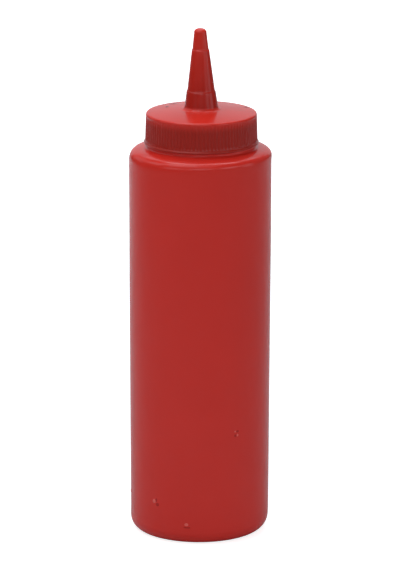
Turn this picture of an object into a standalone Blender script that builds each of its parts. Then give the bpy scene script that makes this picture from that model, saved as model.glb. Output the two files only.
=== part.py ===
"""Squeeze bottle for sauce: a moulded plastic body under a ribbed screw cap.

The body is one turned solid with a low collar and a plain neck. The cap is
one solid too: a skirt with fine grip ribs and a bead round its lower edge, a slightly domed
top, and a cone nozzle whose rounded tip is still closed. The bottle stands on
the foot ring at z = 0, and its axis is the Z axis. All sizes are in metres.
"""

import math

import bmesh
import bpy

# Driving dimensions of the body
BODY_RADIUS = 0.0285
BODY_TAPER = 0.0007
BODY_SEGMENTS = 96
HEEL_WIDTH = 0.0055
HEEL_HEIGHT = 0.0057
FOOT_INNER_RADIUS = 0.0185
PUSH_UP_HEIGHT = 0.0022
SHOULDER_TOP = 0.1589
SHOULDER_HEIGHT = 0.0053
SHOULDER_WIDTH = 0.0114
SHOULDER_FULLNESS = 3.0
COLLAR_RADIUS = 0.0218
COLLAR_FILLET = 0.0008
COLLAR_BEVEL = 0.0003
NECK_RADIUS = 0.0190
NECK_BEVEL = 0.0006

# Driving dimensions of the cap
CAP_BOTTOM = 0.1605
CAP_TOP = 0.1725
CAP_WALL_GAP = 0.0003
CAP_ROOF = 0.0020
BEAD_RADIUS = 0.0230
BEAD_HEIGHT = 0.0010
BEAD_ROUNDING = 0.0003
SKIRT_LOWER_RADIUS = 0.0225
SKIRT_UPPER_RADIUS = 0.0222
TOP_EDGE_ROUNDING = 0.0009
DOME_HEIGHT = 0.0015
RIB_COUNT = 96
RIB_DEPTH = 0.0003

# Driving dimensions of the nozzle
NOZZLE_SEGMENTS = 48
NOZZLE_FOOT_RADIUS = 0.0066
NOZZLE_FILLET = 0.0012
LEDGE_STEP = 0.00015
LOWER_LEDGE_HEIGHT = 0.1811
LOWER_LEDGE_RADIUS = 0.0058
UPPER_LEDGE_HEIGHT = 0.1977
UPPER_LEDGE_RADIUS = 0.0035
TIP_RADIUS = 0.0025
TIP_ROUNDING = 0.0015
TIP_FLAT_RADIUS = 0.0006
OVERALL_HEIGHT = 0.2065

ROUND_STEPS = 6
MERGE_DISTANCE = 0.00001


def curve_points(start, corner, end, steps, fullness=2.0):
    """Quarter of a superellipse from start to end, bulging towards corner.

    A fullness of 2 gives an ellipse, and a larger one a squarer bend.
    """
    points = []
    for step in range(steps + 1):
        turn = math.pi / 2 * step / steps
        from_start = 1 - math.cos(turn) ** (2 / fullness)
        to_end = math.sin(turn) ** (2 / fullness)
        points.append((
            start[0] + (corner[0] - start[0]) * to_end + (end[0] - corner[0]) * from_start,
            start[1] + (corner[1] - start[1]) * to_end + (end[1] - corner[1]) * from_start,
        ))
    return points


def plastic(name, colour, roughness):
    """Dyed polyethylene with a soft gloss."""
    material = bpy.data.materials.new(name)
    material.use_nodes = True
    shader = material.node_tree.nodes["Principled BSDF"]
    shader.inputs["Base Color"].default_value = (*colour, 1)
    shader.inputs["Roughness"].default_value = roughness
    shader.inputs["Metallic"].default_value = 0
    return material


def new_object(name, mesh, material, parent, height=0.0):
    """An object on the bottle's axis, at a height above the foot."""
    item = bpy.data.objects.new(name, mesh)
    bpy.context.scene.collection.objects.link(item)
    mesh.materials.append(material)
    item.parent = parent
    item.location = (0, 0, height)
    return item


def shoulder_height_at(radius):
    """Height of the shoulder's curve at a distance from the axis."""
    reach = (radius - (BODY_RADIUS - SHOULDER_WIDTH)) / SHOULDER_WIDTH
    rise = (1 - reach ** SHOULDER_FULLNESS) ** (1 / SHOULDER_FULLNESS)
    return SHOULDER_TOP - SHOULDER_HEIGHT * (1 - rise)


def neck_top():
    """The neck ends just short of the cap's roof."""
    return CAP_TOP - CAP_ROOF - CAP_WALL_GAP


def body_profile():
    """Radius and height along the body's skin, from the neck's centre to the base's."""
    top = neck_top()
    points = [(0, top), (NECK_RADIUS - NECK_BEVEL, top), (NECK_RADIUS, top - NECK_BEVEL)]
    collar_top = CAP_BOTTOM - CAP_WALL_GAP
    points.append((NECK_RADIUS, collar_top))
    points.append((COLLAR_RADIUS - COLLAR_BEVEL, collar_top))
    points.append((COLLAR_RADIUS, collar_top - COLLAR_BEVEL))
    foot_radius = COLLAR_RADIUS + COLLAR_FILLET
    foot = shoulder_height_at(foot_radius)
    points += curve_points(
        (COLLAR_RADIUS, foot + COLLAR_FILLET), (COLLAR_RADIUS, foot), (foot_radius, foot), ROUND_STEPS // 2
    )
    shoulder = curve_points(
        (BODY_RADIUS - SHOULDER_WIDTH, SHOULDER_TOP),
        (BODY_RADIUS, SHOULDER_TOP),
        (BODY_RADIUS, SHOULDER_TOP - SHOULDER_HEIGHT),
        2 * ROUND_STEPS,
        SHOULDER_FULLNESS,
    )
    points += [point for point in shoulder if point[0] > foot_radius + COLLAR_BEVEL]
    heel_radius = BODY_RADIUS - BODY_TAPER
    points += curve_points(
        (heel_radius, HEEL_HEIGHT), (heel_radius, 0), (heel_radius - HEEL_WIDTH, 0), ROUND_STEPS
    )
    points += curve_points(
        (FOOT_INNER_RADIUS, 0), (FOOT_INNER_RADIUS, PUSH_UP_HEIGHT), (0, PUSH_UP_HEIGHT), ROUND_STEPS
    )
    return points


def make_body(parent):
    """The body: its profile turned once round the axis."""
    profile = body_profile()
    mesh = bpy.data.meshes.new("bottle")
    verts = [(radius, 0, height) for radius, height in profile]
    edges = [(index, index + 1) for index in range(len(verts) - 1)]
    mesh.from_pydata(verts, edges, [])
    material = plastic("red_body_plastic", (0.65, 0.026, 0.013), 0.22)
    body = new_object("bottle", mesh, material, parent)
    turn = body.modifiers.new("turn", "SCREW")
    turn.axis = "Z"
    turn.steps = BODY_SEGMENTS
    turn.render_steps = BODY_SEGMENTS
    turn.use_smooth_shade = True
    turn.use_merge_vertices = True
    turn.merge_threshold = MERGE_DISTANCE
    return body


def next_ring(bm, edges, radius_at, height):
    """Extrudes a ring of edges to a height and to a radius that follows the angle."""
    grown = bmesh.ops.extrude_edge_only(bm, edges=edges)["geom"]
    verts = {item for item in grown if isinstance(item, bmesh.types.BMVert)}
    for vert in verts:
        angle = math.atan2(vert.co.y, vert.co.x)
        radius = radius_at(angle)
        vert.co = (radius * math.cos(angle), radius * math.sin(angle), height)
    return [
        item for item in grown
        if isinstance(item, bmesh.types.BMEdge) and set(item.verts) <= verts
    ]


def plain_ring(radius):
    """A ring of one radius all the way round."""
    return lambda angle: radius


def ribbed_ring(radius, depth):
    """A ring whose radius dips between the ribs' crests."""
    return lambda angle: radius - depth * (0.5 - 0.5 * math.cos(RIB_COUNT * angle))


def narrower_ring(bm, edges, segments, radius, height):
    """Bridges a ring to a smaller one that has fewer segments."""
    made = bmesh.ops.create_circle(bm, segments=segments, radius=radius)
    for vert in made["verts"]:
        vert.co.z = height
    inner = list({edge for vert in made["verts"] for edge in vert.link_edges})
    bmesh.ops.bridge_loops(bm, edges=edges + inner)
    return inner


def dome_height_at(radius):
    """Height of the cap's domed top above its own lower edge."""
    rim = SKIRT_UPPER_RADIUS - TOP_EDGE_ROUNDING
    return CAP_TOP - CAP_BOTTOM + DOME_HEIGHT * (1 - (radius / rim) ** 2)


def add_skirt(bm):
    """Recess for the neck, lower edge, bead, ribs and rounded top edge."""
    skirt_segments = 2 * RIB_COUNT
    recess_radius = NECK_RADIUS + CAP_WALL_GAP
    skirt_height = CAP_TOP - CAP_BOTTOM
    roof = bmesh.ops.create_circle(
        bm, cap_ends=True, segments=skirt_segments, radius=recess_radius
    )
    for vert in roof["verts"]:
        vert.co.z = skirt_height - CAP_ROOF
    ring = list({edge for vert in roof["verts"] for edge in vert.link_edges})
    ring = next_ring(bm, ring, plain_ring(recess_radius), 0)
    bead_inset = BEAD_RADIUS - BEAD_ROUNDING
    ring = next_ring(bm, ring, plain_ring(bead_inset), 0)
    ring = next_ring(bm, ring, plain_ring(BEAD_RADIUS), BEAD_ROUNDING)
    ring = next_ring(bm, ring, plain_ring(BEAD_RADIUS), BEAD_HEIGHT - BEAD_ROUNDING)
    ring = next_ring(bm, ring, plain_ring(bead_inset), BEAD_HEIGHT)
    rib_start = BEAD_HEIGHT + BEAD_ROUNDING
    ring = next_ring(bm, ring, ribbed_ring(SKIRT_LOWER_RADIUS, RIB_DEPTH), rib_start)
    edge = curve_points(
        (SKIRT_UPPER_RADIUS, skirt_height - TOP_EDGE_ROUNDING),
        (SKIRT_UPPER_RADIUS, skirt_height),
        (SKIRT_UPPER_RADIUS - TOP_EDGE_ROUNDING, skirt_height),
        ROUND_STEPS // 2,
    )
    for step, (radius, height) in enumerate(edge):
        depth = RIB_DEPTH * (1 - step / (len(edge) - 1))
        ring = next_ring(bm, ring, ribbed_ring(radius, depth), height)
    return ring


def nozzle_profile():
    """Radius and height along the nozzle, from its fillet's foot to the tip's flat."""
    foot = dome_height_at(NOZZLE_FOOT_RADIUS + NOZZLE_FILLET)
    points = curve_points(
        (NOZZLE_FOOT_RADIUS + NOZZLE_FILLET, foot),
        (NOZZLE_FOOT_RADIUS, foot),
        (NOZZLE_FOOT_RADIUS, foot + NOZZLE_FILLET),
        ROUND_STEPS // 2,
    )
    ledges = (
        (LOWER_LEDGE_RADIUS, LOWER_LEDGE_HEIGHT - CAP_BOTTOM),
        (UPPER_LEDGE_RADIUS, UPPER_LEDGE_HEIGHT - CAP_BOTTOM),
    )
    for radius, height in ledges:
        points.append((radius, height))
        points.append((radius - LEDGE_STEP, height + LEDGE_STEP))
    tip = OVERALL_HEIGHT - CAP_BOTTOM
    points += curve_points(
        (TIP_RADIUS, tip - TIP_ROUNDING), (TIP_RADIUS, tip), (TIP_FLAT_RADIUS, tip), ROUND_STEPS
    )
    return points


def add_nozzle(bm, ring):
    """Domed top, fillet, cone with two small ledges, and closed tip."""
    rim = SKIRT_UPPER_RADIUS - TOP_EDGE_ROUNDING
    profile = nozzle_profile()
    foot_radius = profile[0][0]
    for share, segments in ((1 / 3, 2 * NOZZLE_SEGMENTS), (2 / 3, NOZZLE_SEGMENTS)):
        radius = rim + (foot_radius - rim) * share
        ring = narrower_ring(bm, ring, segments, radius, dome_height_at(radius))
    for radius, height in profile:
        ring = next_ring(bm, ring, plain_ring(radius), height)
    bmesh.ops.contextual_create(bm, geom=ring)


def make_cap(parent):
    """The cap, with the nozzle in one solid with it."""
    bm = bmesh.new()
    ring = add_skirt(bm)
    add_nozzle(bm, ring)
    bmesh.ops.recalc_face_normals(bm, faces=bm.faces)
    mesh = bpy.data.meshes.new("cap")
    bm.to_mesh(mesh)
    bm.free()
    mesh.shade_smooth()
    mesh.set_sharp_from_angle(angle=math.radians(25))
    material = plastic("red_cap_plastic", (0.45, 0.018, 0.010), 0.22)
    return new_object("cap", mesh, material, parent, CAP_BOTTOM)


def main():
    for item in list(bpy.data.objects):
        bpy.data.objects.remove(item, do_unlink=True)
    root = bpy.data.objects.new("squeeze_bottle", None)
    bpy.context.scene.collection.objects.link(root)
    make_body(root)
    make_cap(root)
    bpy.context.view_layer.update()


main()
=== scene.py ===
"""Red squeeze bottle for sauce, with a ribbed screw cap and a closed cone nozzle, on a pale floor."""
import math

import bpy
import numpy as np
from mathutils import Matrix, Vector


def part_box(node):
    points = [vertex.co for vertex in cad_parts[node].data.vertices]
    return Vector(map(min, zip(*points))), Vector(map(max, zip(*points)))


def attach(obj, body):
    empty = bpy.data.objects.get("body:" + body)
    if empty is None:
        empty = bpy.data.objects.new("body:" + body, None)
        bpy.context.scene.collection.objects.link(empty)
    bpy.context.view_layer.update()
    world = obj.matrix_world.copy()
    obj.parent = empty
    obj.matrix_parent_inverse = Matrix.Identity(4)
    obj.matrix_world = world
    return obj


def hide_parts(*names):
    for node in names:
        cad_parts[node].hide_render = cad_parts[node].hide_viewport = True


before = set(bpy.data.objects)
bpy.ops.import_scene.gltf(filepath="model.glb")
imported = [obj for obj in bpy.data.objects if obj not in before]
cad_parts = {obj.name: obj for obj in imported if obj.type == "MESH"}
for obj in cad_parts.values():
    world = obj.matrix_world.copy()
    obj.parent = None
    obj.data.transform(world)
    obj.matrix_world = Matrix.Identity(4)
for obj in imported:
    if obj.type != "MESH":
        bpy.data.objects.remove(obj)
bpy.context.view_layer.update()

# The body
# One blow-moulded bottle of low-density polyethylene, dyed right through: foot ring, rounded heel, long
# wall that narrows a little downwards, domed shoulder, low collar, and a plain neck inside the cap.

MM = 0.001
body_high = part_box("bottle")[1]
body_radius = body_high.x
neck_top = body_high.z
neck_radius = 19.0 * MM
neck_rounding = 0.6 * MM
wall_taper = 0.72 * MM
wall_bow = 0.12 * MM
heel_width = 5.5 * MM
heel_height = 5.7 * MM
foot_inner_radius = 18.5 * MM
push_up_height = 2.2 * MM
shoulder_corner = 157.3 * MM
shoulder_drop = 4.6 * MM
shoulder_fullness = 4.0
shoulder_slope = math.radians(11)
collar_radius = 21.8 * MM
collar_gap = 0.5 * MM
collar_fillet = 1.2 * MM
collar_rounding = 0.25 * MM
neck_offset = 0.41 * MM
foot_offset = -0.33 * MM
heel_fade = 8.0 * MM
parting_height = 0.05 * MM
parting_width = 0.22 * MM
pinch_height = 0.35 * MM
pinch_width = 0.7 * MM
pinch_reach = 15.0 * MM
pinch_margin = 0.1 * MM
wall_unevenness = 0.03 * MM
body_turns = 420
parting_turns = 9
parting_reach = 2.2
parting_gap = 2.6
parting_start = 1.5 * MM
parting_fade = 4.0 * MM
even_core_radius = 20.0 * MM
base_hole = 0.3 * MM
neck_hole = 0.5 * MM
wall_steps = 60
shoulder_steps = 60


def smooth_step(value):
    """Rises from 0 to 1 as value goes from 0 to 1: three squares less two cubes, flat at both ends."""
    share = np.clip(value, 0, 1)
    return share * share * (3 - 2 * share)


def bend(start, corner, end, steps, fullness=2.0):
    """Quarter of a superellipse from start to end that bulges towards corner: rows of radius and height.

    Each point is start, plus the way to the corner times a power of the sine of the turn, plus the way
    from the corner to the end times one less a power of its cosine. The power is 2 over the fullness.
    """
    start, corner, end = np.array(start), np.array(corner), np.array(end)
    turn = np.linspace(0, math.pi / 2, steps + 1)[:, None]
    power = 2 / fullness
    return start + (corner - start) * np.sin(turn) ** power + (end - corner) * (1 - np.cos(turn) ** power)


def straight(start, end, steps):
    """Evenly spaced rows of radius and height from start to end."""
    share = np.linspace(0, 1, steps + 1)[:, None]
    return np.array(start) + (np.array(end) - np.array(start)) * share


def joined(*runs):
    """One profile from several runs, each without the point that it shares with the one before."""
    return np.concatenate([runs[0]] + [run[1:] for run in runs[1:]])


def ring_quads(rows, columns, first=0):
    """Quads between neighbouring rows of a grid whose columns close round, with outward faces."""
    row = np.arange(rows - 1)[:, None]
    column = np.arange(columns)[None, :]
    after = (column + 1) % columns
    here, above = row * columns, (row + 1) * columns
    corners = (here + column, here + after, above + after, above + column)
    full = [np.broadcast_to(corner, (rows - 1, columns)) for corner in corners]
    return np.stack(full, axis=-1).reshape(-1, 4) + first


def fan(ring, centre, outward_up):
    """Triangles from one ring of points to its centre point, facing up or down."""
    after = np.roll(ring, -1)
    middle = np.full_like(ring, centre)
    order = (ring, after, middle) if outward_up else (after, ring, middle)
    return np.stack(order, axis=-1)


def new_mesh(name, points, quads, triangles):
    """A smooth-shaded mesh object from arrays of points, quads and triangles."""
    mesh = bpy.data.meshes.new(name)
    mesh.vertices.add(len(points))
    mesh.vertices.foreach_set("co", points.astype(np.float32).ravel())
    corners = np.concatenate([quads.ravel(), triangles.ravel()]).astype(np.int32)
    counts = np.concatenate([np.full(len(quads), 4), np.full(len(triangles), 3)])
    starts = np.concatenate([[0], np.cumsum(counts)[:-1]]).astype(np.int32)
    mesh.loops.add(len(corners))
    mesh.loops.foreach_set("vertex_index", corners)
    mesh.polygons.add(len(counts))
    mesh.polygons.foreach_set("loop_start", starts)
    mesh.update(calc_edges=True)
    mesh.shade_smooth()
    item = bpy.data.objects.new(name, mesh)
    bpy.context.scene.collection.objects.link(item)
    return item


def wall_profile():
    """The wall from the heel up: a straight taper, plus a bow that is a parabola and zero at both ends."""
    wall_top = shoulder_corner - shoulder_drop
    height = np.linspace(heel_height, wall_top, wall_steps + 1)
    down = (wall_top - height) / wall_top
    radius = body_radius - wall_taper * down + wall_bow * 4 * down * (1 - down)
    return np.stack([radius, height], axis=1)


def body_profile():
    """Radius and height from the base's centre out, up the outside and in over the neck's top.

    The shoulder is a full superellipse whose inner end slopes down to the collar's foot.
    """
    wall = wall_profile()
    heel_radius = wall[0, 0]
    foot_radius = heel_radius - heel_width
    fillet_radius = collar_radius + collar_fillet
    foot = shoulder_corner + (body_radius - fillet_radius) * math.tan(shoulder_slope)
    shoulder = bend(
        (body_radius, shoulder_corner - shoulder_drop),
        (body_radius, shoulder_corner),
        (fillet_radius, foot),
        shoulder_steps,
        shoulder_fullness,
    )
    collar_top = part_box("cap")[0].z - collar_gap
    edge_radius, edge_height = collar_radius - collar_rounding, collar_top - collar_rounding
    neck_edge_radius, neck_edge_height = neck_radius - neck_rounding, neck_top - neck_rounding
    return joined(
        bend((base_hole, push_up_height), (foot_inner_radius, push_up_height), (foot_inner_radius, 0), 26),
        straight((foot_inner_radius, 0), (foot_radius, 0), 4),
        bend((foot_radius, 0), (heel_radius, 0), (heel_radius, heel_height), 22),
        wall,
        shoulder,
        bend((fillet_radius, foot), (collar_radius, foot), (collar_radius, foot + collar_fillet), 8),
        straight((collar_radius, foot + collar_fillet), (collar_radius, edge_height), 2),
        bend((collar_radius, edge_height), (collar_radius, collar_top), (edge_radius, collar_top), 4),
        straight((edge_radius, collar_top), (neck_radius, collar_top), 3),
        straight((neck_radius, collar_top), (neck_radius, neck_edge_height), 4),
        bend((neck_radius, neck_edge_height), (neck_radius, neck_top), (neck_edge_radius, neck_top), 4),
        straight((neck_edge_radius, neck_top), (neck_hole, neck_top), 3),
    )


def body_angles():
    """Even steps round the body, with closer ones across the two parting lines at plus and minus X."""
    even = np.linspace(-math.pi, math.pi, body_turns, endpoint=False) + math.pi / body_turns
    close = np.linspace(-1, 1, parting_turns) * parting_reach * parting_width / body_radius
    gap = parting_gap * parting_width / body_radius
    off_line = np.abs(np.sin(even)) > math.sin(gap)
    return np.sort(np.concatenate([even[off_line], close, close + math.pi - 2 * math.pi * (close >= 0)]))


def slow_unevenness(angle, height):
    """A sum of three cosines of angle and height, about 2 at most, that the blown wall wavers by."""
    return (
        np.cos(2 * angle + 38 * height + 0.6)
        + 0.6 * np.cos(3 * angle - 71 * height + 2.1)
        + 0.4 * np.cos(5 * angle + 117 * height + 4.0)
    )


def body_surface():
    """Points of the turned body: its profile round the axis, with what the mould leaves on it.

    The radius gains a ridge at the two parting lines, a bell curve across each, and the slow unevenness.
    The rings shift sideways at the heel and at the neck, both smooth steps. The push-up gains the
    pinch-off's ridge along X, a bell curve that fades with the radius.
    """
    profile = body_profile()
    angle = body_angles()[None, :]
    radius, height = profile[:, :1], profile[:, 1:]
    sideways = radius * np.abs(np.sin(angle))
    outside = radius > collar_radius + collar_fillet
    on_wall = smooth_step((height - parting_start) / parting_fade) * outside
    ridge = parting_height * np.exp(-((sideways / parting_width) ** 2)) * on_wall
    uneven = slow_unevenness(angle, height)
    swollen = radius + ridge + wall_unevenness * uneven * on_wall * smooth_step(radius / even_core_radius)
    at_neck = smooth_step((height - (shoulder_corner - shoulder_drop)) / shoulder_drop)
    at_foot = 1 - smooth_step(height / heel_fade)
    x = swollen * np.cos(angle) + neck_offset * at_neck + foot_offset * at_foot
    y = swollen * np.sin(angle)
    underneath = (height < push_up_height + pinch_margin) & (radius < pinch_reach)
    fading = (1 - smooth_step(radius / pinch_reach)) ** 0.5
    pinch = pinch_height * np.exp(-((y / pinch_width) ** 2)) * fading
    z = height - pinch * underneath
    return np.stack([x, y, np.broadcast_to(z, x.shape)], axis=-1)


grid = body_surface()
rows, columns = grid.shape[:2]
base_centre = [foot_offset, 0, push_up_height - pinch_height]
neck_centre = [neck_offset, 0, neck_top]
points = np.concatenate([grid.reshape(-1, 3), [base_centre, neck_centre]])
ring = np.arange(columns)
ends = np.concatenate([
    fan(ring, rows * columns, False),
    fan(ring + (rows - 1) * columns, rows * columns + 1, True),
])
body = new_mesh("moulded_body", points, ring_quads(rows, columns), ends)


def linear(hex_colour):
    """An sRGB hex colour as the linear values that a shader takes."""
    parts = [int(hex_colour[start:start + 2], 16) / 255 for start in (1, 3, 5)]
    return tuple(
        part / 12.92 if part <= 0.04045 else ((part + 0.055) / 1.055) ** 2.4 for part in parts
    ) + (1.0,)


def add(tree, kind, settings=None, sockets=None, links=None):
    """Adds a node: settings are its properties, sockets fixed inputs, links inputs fed by other outputs."""
    node = tree.nodes.new(kind)
    for name, value in (settings or {}).items():
        setattr(node, name, value)
    for name, value in (sockets or {}).items():
        node.inputs[name].default_value = value
    for name, source in (links or {}).items():
        tree.links.new(source, node.inputs[name])
    return node


def finish_with(item, material):
    """Gives a piece its only material."""
    item.data.materials.clear()
    item.data.materials.append(material)


def moulded_polyethylene(name, deep, light, gloss, unevenness_mm, ripple, ribbed=None):
    """Dyed polyethylene from a polished mould: soft gloss over a colour that goes right in.

    The eye gets a slow drift between two close reds, a gloss that is a little patchy, and very low ripples
    in the skin, which soften the edges of what it mirrors. Where a ribbed colour is given, that deeper red
    is painted shade, and it comes in as the piece's own shade attribute rises to 1.
    """
    material = bpy.data.materials.new(name)
    material.use_nodes = True
    tree = material.node_tree
    tree.nodes.clear()
    place = add(tree, "ShaderNodeTexCoord").outputs["Object"]
    drift = add(
        tree, "ShaderNodeTexNoise", None,
        {"Scale": 1000 / (4 * unevenness_mm), "Detail": 2.0, "Roughness": 0.5}, {"Vector": place},
    ).outputs["Fac"]
    colour = add(
        tree, "ShaderNodeMix", {"data_type": "RGBA"},
        {"A": linear(deep), "B": linear(light)}, {"Factor": drift},
    )
    # The deeper red is painted shade: where the piece's shade attribute is 1, the colour shows as if in
    # shade.
    if ribbed:
        shade = add(tree, "ShaderNodeAttribute", {"attribute_name": "painted_shade"}).outputs["Fac"]
        colour = add(
            tree, "ShaderNodeMix", {"data_type": "RGBA"}, {"B": linear(ribbed)},
            {"Factor": shade, "A": colour.outputs["Result"]},
        )
    patches = add(
        tree, "ShaderNodeTexNoise", None,
        {"Scale": 1000 / unevenness_mm, "Detail": 4.0, "Roughness": 0.6}, {"Vector": place},
    ).outputs["Fac"]
    gloss_range = add(
        tree, "ShaderNodeMapRange", None,
        {"From Min": 0.3, "From Max": 0.7, "To Min": gloss[0], "To Max": gloss[1]}, {"Value": patches},
    )
    skin = add(
        tree, "ShaderNodeTexNoise", None,
        {"Scale": 1000 / (0.35 * unevenness_mm), "Detail": 3.0, "Roughness": 0.55}, {"Vector": place},
    ).outputs["Fac"]
    bump = add(tree, "ShaderNodeBump", None, {"Strength": ripple, "Distance": 0.05 * MM}, {"Height": skin})
    shader = add(
        tree, "ShaderNodeBsdfPrincipled", None,
        {"IOR": 1.42, "Metallic": 0.0, "Subsurface Weight": 0.0},
        {
            "Base Color": colour.outputs["Result"],
            "Roughness": gloss_range.outputs["Result"],
            "Normal": bump.outputs["Normal"],
        },
    )
    add(tree, "ShaderNodeOutputMaterial", None, None, {"Surface": shader.outputs["BSDF"]})
    return material


body_plastic = moulded_polyethylene(
    "blow_moulded_polyethylene", "#E43328", "#EA362B", (0.17, 0.24), 6.0, 0.1
)
finish_with(body, body_plastic)
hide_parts("bottle")
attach(body, "root")

# The specks on the wall
# Small flaws of the moulding, each part of the wall: a raised speck near the foot, whose pale red is a
# painted highlight, with dark ones beside it, a low pale dot over a dark line, a faint cross-shaped mark
# whose pale strokes are painted highlights, a bulge at the left and fine grains.

speck_turns = 20
speck_rings = 8
speck_root = 0.12 * MM
rim_sink = 0.15
grain_count = 26
grain_seed = 7
grain_turns = (-72, -46)
grain_band = (6.2, 15.5)
grain_widths = (0.25, 0.45)
grain_tallness = (0.25, 0.50)
grain_rises = (0.06, 0.12)


def specks(name, places, normals, levels, half_widths, half_heights, rises):
    """One mesh of low round bumps. Each rises by half its rise times one plus the cosine of the way out.

    Places, normals and levels hold each bump's centre, outward normal and level direction. The rim sinks a
    little into the surface, by the sixth power of the way out, and a root point below it closes the bump.
    """
    uprights = np.cross(normals, levels)
    share = np.linspace(0, 1, speck_rings + 1)[1:, None]
    turn = np.linspace(0, 2 * math.pi, speck_turns, endpoint=False)[None, :]
    lift = 0.5 + 0.5 * np.cos(math.pi * share)
    sink = rim_sink * share ** 6
    across = (share * np.cos(turn))[None, :, :, None] * (half_widths[:, None] * levels)[:, None, None, :]
    along = (share * np.sin(turn))[None, :, :, None] * (half_heights[:, None] * uprights)[:, None, None, :]
    raised = (lift - sink)[None, :, :, None] * (rises[:, None] * normals)[:, None, None, :]
    rings = (places[:, None, None, :] + across + along + raised).reshape(len(places), -1, 3)
    tops = places + rises[:, None] * normals
    roots = places - speck_root * normals
    each = np.concatenate([rings, tops[:, None], roots[:, None]], axis=1)
    count = each.shape[1]
    ring = np.arange(speck_turns)
    quads = ring_quads(speck_rings, speck_turns)[:, ::-1]
    ends = np.concatenate([
        fan(ring, speck_turns * speck_rings, True),
        fan(ring + speck_turns * (speck_rings - 1), speck_turns * speck_rings + 1, False),
    ])
    shift = (np.arange(len(places)) * count)[:, None, None]
    all_quads = (quads + shift).reshape(-1, 4)
    all_ends = (ends + shift).reshape(-1, 3)
    return new_mesh(name, each.reshape(-1, 3), all_quads, all_ends)


def on_the_wall(sideways_degrees, heights):
    """Points of the wall from turns off the front and heights, with their normals and level directions.

    Each is the wall's radius there, with the slow unevenness, along the turn, plus the foot's shift.
    """
    angle = np.radians(np.array(sideways_degrees) - 90)
    height = np.array(heights) * MM
    wall = wall_profile()
    radius = np.interp(height, wall[:, 1], wall[:, 0]) + wall_unevenness * slow_unevenness(angle, height)
    at_foot = 1 - smooth_step(height / heel_fade)
    outward = np.stack([np.cos(angle), np.sin(angle), np.zeros(len(angle))], axis=1)
    level = np.stack([-np.sin(angle), np.cos(angle), np.zeros(len(angle))], axis=1)
    shift = np.stack([foot_offset * at_foot, np.zeros(len(angle)), height], axis=1)
    place = outward * radius[:, None] + shift
    return place, outward, level


# Turns are in degrees off the front, heights in millimetres, and widths, tallness and rises are half sizes
# and heights of each bump. The first raised one is the bulge at the left edge, and the rest are the grains.
grains = np.random.default_rng(grain_seed)
raised_sideways = np.concatenate([[-88.0], grains.uniform(*grain_turns, grain_count)])
raised_heights = np.concatenate([[15.2], grains.uniform(*grain_band, grain_count)])
raised_widths = np.concatenate([[1.00], grains.uniform(*grain_widths, grain_count)]) * MM
raised_tallness = np.concatenate([[1.30], grains.uniform(*grain_tallness, grain_count)]) * MM
raised_rises = np.concatenate([[0.20], grains.uniform(*grain_rises, grain_count)]) * MM
raised_places = on_the_wall(raised_sideways, raised_heights)
raised_specks = specks("raised_specks", *raised_places, raised_widths, raised_tallness, raised_rises)
finish_with(raised_specks, body_plastic)
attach(raised_specks, "root")

# The raised speck, the low dot and two strokes of the cross-shaped mark, in a pale red that is a painted
# highlight.
pale_sideways = np.array([-40.9, -11.0, 30.4, 32.7])
pale_heights = np.array([16.8, 8.7, 46.8, 45.2])
pale_widths = np.array([0.95, 0.85, 0.40, 0.42]) * MM
pale_tallness = np.array([1.05, 0.75, 0.45, 0.60]) * MM
pale_rises = np.array([0.45, 0.10, 0.05, 0.05]) * MM
pale_places = on_the_wall(pale_sideways, pale_heights)
pale_specks = specks("pale_specks", *pale_places, pale_widths, pale_tallness, pale_rises)

# The same plastic in a paler, duller red, which is a painted highlight.
painted_highlight_plastic = moulded_polyethylene("painted_highlight_polyethylene", "#F2665C", "#F67268", (0.20, 0.26), 5.0, 0.1)
finish_with(pale_specks, painted_highlight_plastic)
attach(pale_specks, "root")

# Two beside the raised speck, the line under the dot and the mark's other two strokes.
dark_sideways = np.array([-37.4, -38.6, -10.4, 32.7, 30.5])
dark_heights = np.array([15.6, 17.4, 7.4, 46.8, 45.1])
dark_widths = np.array([0.80, 0.50, 1.40, 0.55, 0.50]) * MM
dark_tallness = np.array([0.80, 0.90, 0.30, 0.50, 0.60]) * MM
dark_rises = np.array([0.05, 0.04, 0.04, 0.03, 0.03]) * MM
dark_places = on_the_wall(dark_sideways, dark_heights)
dark_specks = specks("dark_specks", *dark_places, dark_widths, dark_tallness, dark_rises)

# The same plastic in a deeper red, for the dark specks and strokes.
deeper_red_plastic = moulded_polyethylene(
    "deeper_red_polyethylene", "#BE1B14", "#C41E17", (0.20, 0.26), 5.0, 0.1
)
finish_with(dark_specks, deeper_red_plastic)
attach(dark_specks, "root")

# The cap
# One injection-moulded screw cap of a slightly darker dyed polyethylene, with shade painted deeper on its
# skirt
# and nozzle: a skirt with fine grip ribs and a bead round its lower edge, a low domed top, and a cone
# nozzle with two cutting ledges and a closed round tip.

cap_low, cap_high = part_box("cap")
bead_hang = 0.3 * MM
cap_bottom = cap_low.z - bead_hang
tip_top = cap_high.z
bead_radius = cap_high.x
cap_top = cap_low.z + 12.0 * MM
cap_roof = 2.0 * MM
recess_gap = 0.3 * MM
recess_radius = neck_radius + recess_gap
recess_hole = 0.5 * MM
bead_height = 0.8 * MM
bead_rounding = 0.5 * MM
bead_lower_rounding = 0.12 * MM
rib_start = 0.35 * MM
rib_run_in = 0.7 * MM
skirt_lower_radius = 22.5 * MM
skirt_upper_radius = 22.2 * MM
rib_count = 96
rib_samples = 8
rib_depth = 0.25 * MM
rib_fade = 1.2 * MM
painted_shade_fade = 4.5 * MM
nozzle_shade_rise = 0.05
top_edge_rounding = 0.95 * MM
dome_height = 1.5 * MM
dome_inset = 0.5 * MM
nozzle_foot_radius = 6.6 * MM
nozzle_fillet = 1.7 * MM
ledge_step = 0.24 * MM
ledge_rise = 0.45 * MM
lower_ledge_height = 181.1 * MM
lower_ledge_radius = 5.8 * MM
upper_ledge_height = 197.8 * MM
upper_ledge_radius = 3.5 * MM
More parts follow.
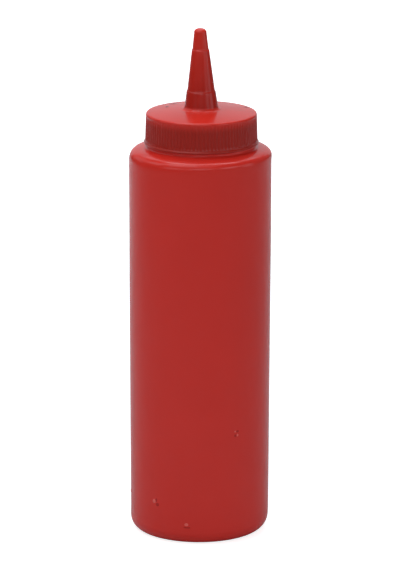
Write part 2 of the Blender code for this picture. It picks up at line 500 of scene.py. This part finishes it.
tip_radius = 2.5 * MM
tip_rounding = 1.5 * MM
tip_flat_radius = 0.6 * MM
nozzle_lean = -0.0156
nozzle_turns = rib_count * 2


def dome_height_at(radius):
    """Height of the cap's top, a parabola that is highest on the axis."""
    rim = skirt_upper_radius - top_edge_rounding
    return cap_top + dome_height * (1 - (radius / rim) ** 2)


def skirt_profile():
    """Radius, height and share of the ribs' depth, from the recess's roof down, out and up to the rim.

    The share is a smooth step up from the bead times a smooth step up from the top's edge downwards.
    """
    inset = bead_radius - bead_rounding
    lower_inset = bead_radius - bead_lower_rounding
    bead_foot = cap_bottom + bead_lower_rounding
    bead_top = cap_bottom + bead_height
    bead_shoulder = bead_top - bead_rounding
    rib_bottom = bead_top + rib_start
    rim = skirt_upper_radius - top_edge_rounding
    edge = cap_top - top_edge_rounding
    roof = cap_top - cap_roof
    plain = joined(
        straight((recess_hole, roof), (recess_radius, roof), 3),
        straight((recess_radius, roof), (recess_radius, cap_bottom), 3),
        straight((recess_radius, cap_bottom), (lower_inset, cap_bottom), 3),
        bend((lower_inset, cap_bottom), (bead_radius, cap_bottom), (bead_radius, bead_foot), 4),
        straight((bead_radius, bead_foot), (bead_radius, bead_shoulder), 1),
        bend((bead_radius, bead_shoulder), (bead_radius, bead_top), (inset, bead_top), 8),
    )
    ribbed = joined(
        straight((skirt_lower_radius, rib_bottom), (skirt_upper_radius, edge), 30),
        bend((skirt_upper_radius, edge), (skirt_upper_radius, cap_top), (rim, cap_top), 10),
    )
    profile = np.concatenate([plain, ribbed])
    below_edge = (edge - profile[:, 1]) / rib_fade
    share = smooth_step(below_edge) * smooth_step((profile[:, 1] - rib_bottom) / rib_run_in)
    share[:len(plain)] = 0
    return profile, share


def cone_radius_at(height):
    """Radius of the nozzle's cone: straight runs between its foot, two ledges and tip, less a step at each.

    Each step comes in over a short rise as a smooth step, so its upper edge catches light from above.
    """
    foot = dome_height_at(nozzle_foot_radius + nozzle_fillet) + nozzle_fillet
    heights = (foot, lower_ledge_height, upper_ledge_height, tip_top - tip_rounding)
    radii = (
        nozzle_foot_radius,
        lower_ledge_radius,
        upper_ledge_radius + ledge_step,
        tip_radius + 2 * ledge_step,
    )
    radius = np.interp(height, heights, radii)
    for ledge in (lower_ledge_height, upper_ledge_height):
        radius = radius - ledge_step * smooth_step((height - ledge) / ledge_rise)
    return radius


def nozzle_profile():
    """Radius and height from just inside the top's rim, over the dome, up the cone and in over the tip."""
    rim = skirt_upper_radius - top_edge_rounding
    foot_radius = nozzle_foot_radius + nozzle_fillet
    foot = dome_height_at(foot_radius)
    across = np.linspace(rim - dome_inset, foot_radius, 24)
    dome = np.stack([across, dome_height_at(across)], axis=1)
    base = foot + nozzle_fillet
    fillet = bend((foot_radius, foot), (nozzle_foot_radius, foot), (nozzle_foot_radius, base), 12)
    end = tip_top - tip_rounding
    heights = [np.linspace(base, lower_ledge_height, 12)]
    heights.append(np.linspace(lower_ledge_height, lower_ledge_height + ledge_rise, 8)[1:])
    heights.append(np.linspace(lower_ledge_height + ledge_rise, upper_ledge_height, 26)[1:])
    heights.append(np.linspace(upper_ledge_height, upper_ledge_height + ledge_rise, 8)[1:])
    heights.append(np.linspace(upper_ledge_height + ledge_rise, end, 12)[1:])
    height = np.concatenate(heights)
    cone = np.stack([cone_radius_at(height), height], axis=1)
    tip = bend(tuple(cone[-1]), (cone[-1, 0], tip_top), (tip_flat_radius, tip_top), 14)
    return np.concatenate([dome, fillet[1:], cone[1:], tip[1:]])


def turned(profile, angle, depth):
    """Points of a profile turned round the cap's axis.

    The radius is less by the depth times the groove, which is a half less half a cosine of the angle times
    the count of ribs. Above the cap's top the rings move along X in step with the height, for the nozzle's
    slight lean.
    """
    groove = 0.5 - 0.5 * np.cos(rib_count * angle)
    radius = profile[:, :1] - depth[:, None] * groove[None, :]
    height = np.broadcast_to(profile[:, 1:], radius.shape)
    lean = nozzle_lean * np.clip(height - cap_top, 0, None)
    x = radius * np.cos(angle) + neck_offset + lean
    return np.stack([x, radius * np.sin(angle), height], axis=-1)


def ring_step_down(outer_first, outer_count, inner_first, inner_count):
    """Triangles from a ring to one with a quarter of its points, five for each step of the inner ring."""
    step = np.arange(inner_count)
    near, far = inner_first + step, inner_first + (step + 1) % inner_count
    outer = [outer_first + (4 * step + ahead) % outer_count for ahead in range(5)]
    first, second, middle, fourth, last = outer
    triangles = (
        (first, second, near), (second, middle, near), (near, middle, far),
        (middle, fourth, far), (fourth, last, far),
    )
    return np.concatenate([np.stack(corners, axis=-1) for corners in triangles])


skirt_run, rib_share = skirt_profile()
skirt_angle = np.linspace(0, 2 * math.pi, rib_count * rib_samples, endpoint=False)
nozzle_angle = np.linspace(0, 2 * math.pi, nozzle_turns, endpoint=False)
nozzle_run = nozzle_profile()
skirt_grid = turned(skirt_run, skirt_angle, rib_depth * rib_share)
nozzle_grid = turned(nozzle_run, nozzle_angle, np.zeros(len(nozzle_run)))
skirt_rows, skirt_columns = skirt_grid.shape[:2]
nozzle_rows, nozzle_columns = nozzle_grid.shape[:2]
skirt_size = skirt_rows * skirt_columns
all_size = skirt_size + nozzle_rows * nozzle_columns
roof_centre = [neck_offset, 0, cap_top - cap_roof]
tip_centre = [neck_offset + nozzle_lean * (tip_top - cap_top), 0, tip_top]
cap_points = np.concatenate([
    skirt_grid.reshape(-1, 3),
    nozzle_grid.reshape(-1, 3),
    [roof_centre, tip_centre],
])
cap_quads = np.concatenate([
    ring_quads(skirt_rows, skirt_columns),
    ring_quads(nozzle_rows, nozzle_columns, skirt_size),
])
cap_triangles = np.concatenate([
    fan(np.arange(skirt_columns), all_size, False),
    ring_step_down(skirt_size - skirt_columns, skirt_columns, skirt_size, nozzle_columns),
    fan(np.arange(nozzle_columns) + all_size - nozzle_columns, all_size + 1, True),
])

# The cap's shade attribute paints shade: it is 1 on the skirt, which the grooves and the light from above
# leave in shade, and fades to 0 at its top edge, so the lit top keeps the plain red. It is 0 on the dome,
# rises to 1 at the nozzle's foot, painted in shade, and falls to 0 at its tip, painted lighter as if light
# came through it.
# The last two values are the roof's and the tip's centres.
skirt_shade = smooth_step((cap_top - skirt_run[:, 1]) / painted_shade_fade)
above_top = (nozzle_run[:, 1] - cap_top - dome_height) / (tip_top - cap_top - dome_height)
nozzle_shade = smooth_step(above_top / nozzle_shade_rise) * (1 - np.clip(above_top, 0, 1))
cap_shade = np.concatenate([
    np.repeat(skirt_shade, skirt_columns),
    np.repeat(nozzle_shade, nozzle_columns),
    [1.0, 0.0],
])
cap = new_mesh("ribbed_cap", cap_points, cap_quads, cap_triangles)
shade = cap.data.attributes.new("painted_shade", "FLOAT", "POINT")
shade.data.foreach_set("value", cap_shade.astype(np.float32))
# The plain red of the cap, and a deeper red at #AF2518 that is painted shade on the skirt and the nozzle's
# foot.
cap_plastic = moulded_polyethylene(
    "injection_moulded_polyethylene", "#E23225", "#E63528", (0.17, 0.24), 5.0, 0.1, "#AF2518"
)
finish_with(cap, cap_plastic)
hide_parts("cap")
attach(cap, "root")

# The marks on the cap
# Three small dark scuffs near the back edge of the cap's top, part of its surface, which were rubbed in
# as the bottle was gripped.


def on_the_top(sideways_mm, back_mm):
    """Points of the cap's dome from distances off its axis, with their normals and level directions.

    The normal leans outward by the dome's slope, which is twice its height times the radius, over the
    square of the rim's radius.
    """
    across = np.array(sideways_mm) * MM
    back = np.array(back_mm) * MM
    radius = np.hypot(across, back)
    rim = skirt_upper_radius - top_edge_rounding
    slope = 2 * dome_height * radius / rim ** 2
    upward = np.stack([across / radius * slope, back / radius * slope, np.ones(len(radius))], axis=1)
    upward /= np.linalg.norm(upward, axis=1, keepdims=True)
    level = np.cross(np.array([[0.0, 1.0, 0.0]]), upward)
    level /= np.linalg.norm(level, axis=1, keepdims=True)
    place = np.stack([across + neck_offset, back, dome_height_at(radius)], axis=1)
    return place, upward, level


mark_sideways = [-13.8, -11.3, 18.0]
mark_back = [6.4, 12.6, 8.4]
mark_widths = np.array([0.80, 1.90, 1.00]) * MM
mark_depths = np.array([2.00, 1.50, 1.60]) * MM
mark_rises = np.array([0.20, 0.16, 0.16]) * MM
mark_places = on_the_top(mark_sideways, mark_back)
cap_marks = specks("cap_marks", *mark_places, mark_widths, mark_depths, mark_rises)

# Scuffed polyethylene: dirt worked into the scratched skin, which the eye gets as a dark, dull red.
scuffed_plastic = moulded_polyethylene(
    "scuffed_polyethylene", "#9A1A16", "#A11E19", (0.20, 0.26), 5.0, 0.1
)
finish_with(cap_marks, scuffed_plastic)
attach(cap_marks, "root")

# The floor
# A plain board, far larger than the view, that the bottle stands on. Its matt paint is a light grey that
# glows for the camera alone, so it shows white while the bottle mirrors a plain, dimmer floor.

floor_half = 6.0
floor_glow = 0.84
paint_grain_mm = 40
floor_corners = np.array([[-1, -1, 0], [1, -1, 0], [1, 1, 0], [-1, 1, 0]]) * floor_half
floor = new_mesh("studio_floor", floor_corners, np.array([[0, 1, 2, 3]]), np.zeros((0, 3), int))

# White matt paint, rolled on: the eye gets an even, pale ground with hardly any drift in it.
paint = bpy.data.materials.new("white_matt_paint")
paint.use_nodes = True
paint_tree = paint.node_tree
paint_tree.nodes.clear()
paint_place = add(paint_tree, "ShaderNodeTexCoord").outputs["Object"]
paint_grain = add(
    paint_tree, "ShaderNodeTexNoise", None,
    {"Scale": 1000 / paint_grain_mm, "Detail": 3.0}, {"Vector": paint_place},
).outputs["Fac"]
paint_colour = add(
    paint_tree, "ShaderNodeMix", {"data_type": "RGBA"},
    {"A": linear("#CCCCCC"), "B": linear("#D0D0D0")}, {"Factor": paint_grain},
)
paint_sight = add(paint_tree, "ShaderNodeLightPath").outputs["Is Camera Ray"]
paint_glow = add(
    paint_tree, "ShaderNodeMath", {"operation": "MULTIPLY"}, {1: floor_glow}, {0: paint_sight}
)
paint_shader = add(
    paint_tree, "ShaderNodeBsdfPrincipled", None,
    {"Roughness": 0.7, "IOR": 1.45, "Emission Color": (1.0, 1.0, 1.0, 1.0)},
    {"Base Color": paint_colour.outputs["Result"], "Emission Strength": paint_glow.outputs["Value"]},
)
add(paint_tree, "ShaderNodeOutputMaterial", None, None, {"Surface": paint_shader.outputs["BSDF"]})
finish_with(floor, paint)

# The light
# Soft studio light: softboxes over the bottle, pale cards at the sides and low in front, lamps that make
# soft pools on the floor behind, which the wall mirrors near its edges, and a pale room all round.

cool_white = (1.0, 1.0, 1.08)


def softbox(name, place, aim, width, height, radiance, spread=180.0):
    """A flat area light that faces a point. Its power is radiance times area times pi."""
    light = bpy.data.lights.new(name, "AREA")
    light.shape = "RECTANGLE"
    light.size = width
    light.size_y = height
    light.energy = radiance * width * height * math.pi
    light.color = cool_white
    light.spread = math.radians(spread)
    item = bpy.data.objects.new(name, light)
    item.visible_camera = False
    bpy.context.scene.collection.objects.link(item)
    facing = (Vector(aim) - Vector(place)).to_track_quat("-Z", "Y")
    item.matrix_world = Matrix.Translation(place) @ facing.to_matrix().to_4x4()
    return item


# Over the bottle and in front of it, stronger at the left, for the shoulder's highlight.
softbox("key_softbox_left", (-0.47, -0.20, 0.86), (-0.47, -0.05, 0.15), 0.28, 0.48, 2.30)
softbox("key_softbox_middle", (-0.18, -0.20, 0.86), (-0.18, -0.05, 0.15), 0.28, 0.48, 2.00)
softbox("key_softbox_right", (0.11, -0.20, 0.86), (0.11, -0.05, 0.15), 0.28, 0.48, 0.65)
softbox("front_key_left", (-0.47, -0.62, 0.80), (-0.30, 0, 0.15), 0.28, 0.34, 0.25)
softbox("front_key_middle", (-0.18, -0.62, 0.80), (-0.15, 0, 0.15), 0.28, 0.34, 0.55)
softbox("front_key_right", (0.11, -0.62, 0.80), (0.08, 0, 0.15), 0.28, 0.34, 0.25)

# Over and behind it, for the cap's top, which mirrors them.
softbox("top_softbox", (0, 0.18, 0.80), (0, 0.05, 0.15), 0.60, 0.22, 3.30)
softbox("back_top_softbox", (0, 0.60, 0.80), (0, 0.15, 0.10), 0.90, 0.50, 0.85)

# At the sides, for the shoulder's ends and the cap's skirt.
softbox("left_high_card", (-0.65, 0, 0.62), (0, 0, 0.15), 0.40, 0.35, 1.10)
softbox("left_back_card", (-0.89, 0.62, 0.61), (0, 0, 0.10), 0.60, 0.60, 0.50)
softbox("right_back_card", (0.89, 0.62, 0.61), (0, 0, 0.10), 0.60, 0.60, 0.08)
softbox("right_card", (1.16, -0.20, 0.35), (0, 0, 0.10), 0.50, 0.60, 0.96)
softbox("right_front_card", (0.96, -0.81, 0.44), (0, 0, 0.10), 0.50, 0.60, 0.60)

# In front, far off and low, for the wall's even light.
softbox("front_card", (0, -2.36, 1.20), (0, 0, 0.10), 1.40, 0.60, 0.50)
softbox("low_front_card", (0, -2.79, 0.90), (0, 0, 0.10), 2.00, 0.50, 1.95)
softbox("low_left_card", (-1.36, -1.36, 0.65), (0, 0, 0.10), 1.00, 0.50, 1.20)
softbox("low_right_card", (1.36, -1.36, 0.65), (0, 0, 0.10), 1.00, 0.50, 1.30)

# Over the floor behind, and upright at the back, for the pale bands along the wall's edges.
softbox("rear_floor_strip", (0, 1.0, 0.80), (0, 1.0, 0), 0.30, 0.90, 0.86, 70.0)
softbox("rear_left_floor_lamp", (-0.50, 0.90, 0.80), (-0.50, 0.90, 0), 0.50, 0.70, 1.50, 90.0)
softbox("rear_right_floor_lamp", (0.85, 0.75, 0.80), (0.85, 0.75, 0), 0.50, 0.50, 1.60, 90.0)
softbox("back_card", (0, 2.0, 0.60), (0, 0, 0.10), 2.40, 1.10, 0.49)

# The room is bright for the camera and dim for everything else, like the floor.
room_light = 0.09
room_seen = 0.9
room = bpy.data.worlds.new("pale_room")
bpy.context.scene.world = room
room.use_nodes = True
room_tree = room.node_tree
room_tree.nodes.clear()
room_sight = add(room_tree, "ShaderNodeLightPath").outputs["Is Camera Ray"]
room_strength = add(
    room_tree, "ShaderNodeMapRange", None,
    {"To Min": room_light, "To Max": room_seen}, {"Value": room_sight},
)
room_glow = add(
    room_tree, "ShaderNodeBackground", None, {"Color": (1.0, 1.0, 1.0, 1.0)},
    {"Strength": room_strength.outputs["Result"]},
)
add(room_tree, "ShaderNodeOutputWorld", None, None, {"Surface": room_glow.outputs["Background"]})

# The camera
# A long lens from about two metres, a little above the bottle, rolled by about a tenth of a degree.

image_height = 570
focal_length_px = 4953.2
camera_distance = 1.995
camera_rise = math.radians(14.31)
camera_roll = 0.0021
aim_height = 101.2 * MM

camera_data = bpy.data.cameras.new("long_lens")
camera = bpy.data.objects.new("camera", camera_data)
bpy.context.scene.collection.objects.link(camera)
bpy.context.scene.camera = camera
camera_data.sensor_fit = "AUTO"
camera_data.sensor_width = 36.0
camera_data.lens = focal_length_px * camera_data.sensor_width / image_height
camera_data.clip_start = 0.1
camera_data.clip_end = 50.0
aim = Vector((0, 0, aim_height))
back = Vector((0, -math.cos(camera_rise), math.sin(camera_rise)))
turn = (-back).to_track_quat("-Z", "Y").to_matrix().to_4x4()
roll = Matrix.Rotation(camera_roll, 4, "Z")
camera.matrix_world = Matrix.Translation(aim + back * camera_distance) @ turn @ roll

# Colours are shown plainly, without a film's look.
bpy.context.scene.view_settings.view_transform = "Standard"
bpy.context.scene.view_settings.look = "None"
